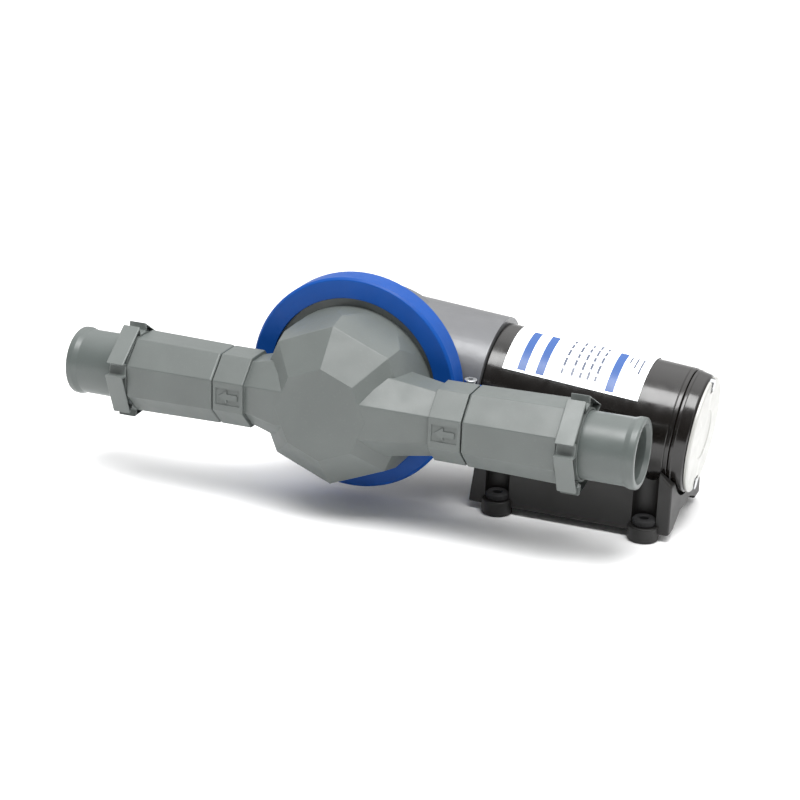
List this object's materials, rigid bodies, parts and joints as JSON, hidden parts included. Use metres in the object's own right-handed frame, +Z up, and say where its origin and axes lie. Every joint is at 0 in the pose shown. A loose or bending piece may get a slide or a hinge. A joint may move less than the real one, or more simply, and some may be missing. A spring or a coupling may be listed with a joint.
{
  "type": "electric diaphragm bilge pump",
  "caption": "In-line diaphragm bilge pump with a faceted head, hose tails on both sides, a clamp ring, and a geared motor lying on a screw-down cradle.",
  "frame": {"origin": "centre of the underside: the middle of the whole pump's box, on the plane that the four feet stand on", "axes": "+X along the ports towards the inlet, -Y out of the faceted head, +Z up from the feet"},
  "size_m": [0.3646, 0.1522, 0.1354],
  "materials": {
    "grey_plastic": "moulded mid-grey engineering plastic, satin",
    "nut_plastic": "moulded light-grey plastic, satin",
    "tail_plastic": "moulded dark-grey plastic, satin",
    "blue_ring": "satin blue coating",
    "housing_grey": "smooth light-grey coating",
    "black_paint": "gloss black paint",
    "label_film": "white printed film with blue and grey marks",
    "black_plastic": "moulded black plastic",
    "end_plate": "off-white painted sheet",
    "steel": "machined or stamped steel",
    "laminations": "stacked steel laminations, oiled",
    "copper": "enamelled copper wire and turned copper",
    "bronze": "sintered bronze",
    "ferrite": "sintered ferrite, matt",
    "carbon": "pressed carbon",
    "card": "brown phenolic board",
    "black_rubber": "moulded black rubber, matt"
  },
  "bodies": {
    "housing": {"gear_housing": "housing_grey", "gearbox_cover": "housing_grey", "ring_gear": "steel", "crank_bearing": "steel", "motor_can": "black_paint", "motor_label": "label_film", "motor_front_plate": "end_plate", "motor_end_cap": "black_plastic", "motor_end_plate": "end_plate", "cable_gland": "black_rubber", "front_shaft_bearing": "bronze", "rear_shaft_bearing": "bronze", "brush_card": "card", "front_brush": "carbon", "rear_brush": "carbon", "front_brush_spring": "steel", "rear_brush_spring": "steel", "front_magnet": "ferrite", "rear_magnet": "ferrite", "upper_through_bolt": "steel", "lower_through_bolt": "steel", "base": "black_plastic", "front_grommet_1": "black_rubber", "front_grommet_2": "black_rubber", "rear_grommet_1": "black_rubber", "rear_grommet_2": "black_rubber", "cradle_screw_1": "steel", "cradle_screw_2": "steel", "diaphragm": "black_rubber"},
    "clamp": {"clamp_ring": "blue_ring", "clamp_screw": "steel", "clamp_nut": "steel"},
    "head": {"pump_head": "grey_plastic", "inlet_valve_housing": "grey_plastic", "outlet_valve_housing": "grey_plastic", "inlet_seal": "black_rubber", "outlet_seal": "black_rubber", "inlet_duckbill": "black_rubber", "outlet_duckbill": "black_rubber", "inlet_hose_tail": "tail_plastic", "outlet_hose_tail": "tail_plastic"},
    "inlet_nut": {"inlet_union_nut": "nut_plastic"},
    "outlet_nut": {"outlet_union_nut": "nut_plastic"},
    "armature": {"motor_shaft": "steel", "sun_pinion": "steel", "armature_core": "laminations", "front_winding": "copper", "rear_winding": "copper", "commutator": "copper"},
    "crank": {"crank_carrier": "steel"},
    "planet_1": {"planet_gear_1": "bronze"},
    "planet_2": {"planet_gear_2": "bronze"},
    "planet_3": {"planet_gear_3": "bronze"},
    "rod": {"connecting_rod": "housing_grey", "rod_bearing": "bronze"},
    "piston": {"diaphragm_front_plate": "grey_plastic", "diaphragm_rear_plate": "steel", "diaphragm_screw": "steel"}
  },
  "joints": [
    {"name": "clamp_turn", "type": "hinge", "parent": "housing", "child": "clamp", "pos_m": [-0.01688, -0.01842, 0.072], "axis": [0, 1, 0], "continuous": true},
    {"name": "head_turn", "type": "hinge", "parent": "housing", "child": "head", "pos_m": [-0.01688, -0.04592, 0.072], "axis": [0, 1, 0], "continuous": true},
    {"name": "inlet_nut_turn", "type": "hinge", "parent": "head", "child": "inlet_nut", "pos_m": [0.12612, -0.04762, 0.068], "axis": [1, 0, 0], "range_deg": [0, 540]},
    {"name": "outlet_nut_turn", "type": "hinge", "parent": "head", "child": "outlet_nut", "pos_m": [-0.14548, -0.04762, 0.068], "axis": [-1, 0, 0], "range_deg": [0, 540]},
    {"name": "armature_turn", "type": "hinge", "parent": "housing", "child": "armature", "pos_m": [0.10762, 0.03108, 0.06089], "axis": [0.996, 0, -0.0889], "continuous": true},
    {"name": "crank_turn", "type": "hinge", "parent": "housing", "child": "crank", "pos_m": [0.011, 0.03108, 0.06951], "axis": [0.996, 0, -0.0889], "continuous": true},
    {"name": "planet_1_turn", "type": "hinge", "parent": "crank", "child": "planet_1", "pos_m": [0.03541, 0.04608, 0.06733], "axis": [0.996, 0, -0.0889], "continuous": true},
    {"name": "planet_2_turn", "type": "hinge", "parent": "crank", "child": "planet_2", "pos_m": [0.03656, 0.02358, 0.08027], "axis": [0.996, 0, -0.0889], "continuous": true},
    {"name": "planet_3_turn", "type": "hinge", "parent": "crank", "child": "planet_3", "pos_m": [0.03425, 0.02358, 0.05439], "axis": [0.996, 0, -0.0889], "continuous": true},
    {"name": "rod_turn", "type": "hinge", "parent": "crank", "child": "rod", "pos_m": [-0.01653, 0.03108, 0.07598], "axis": [0.996, 0, -0.0889], "continuous": true},
    {"name": "diaphragm_stroke", "type": "slide", "parent": "housing", "child": "piston", "axis": [0, 1, 0], "range_m": [-0.004, 0.004], "stiffness_N_per_m": 500, "deforming": ["diaphragm"]}
  ],
  "couplings": [
    {"joint": "crank_turn", "follows": "armature_turn", "ratio": 0.2},
    {"joint": "planet_1_turn", "follows": "armature_turn", "ratio": -0.53333},
    {"joint": "planet_2_turn", "follows": "armature_turn", "ratio": -0.53333},
    {"joint": "planet_3_turn", "follows": "armature_turn", "ratio": -0.53333},
    {"joint": "rod_turn", "follows": "armature_turn", "ratio": -0.2}
  ]
}
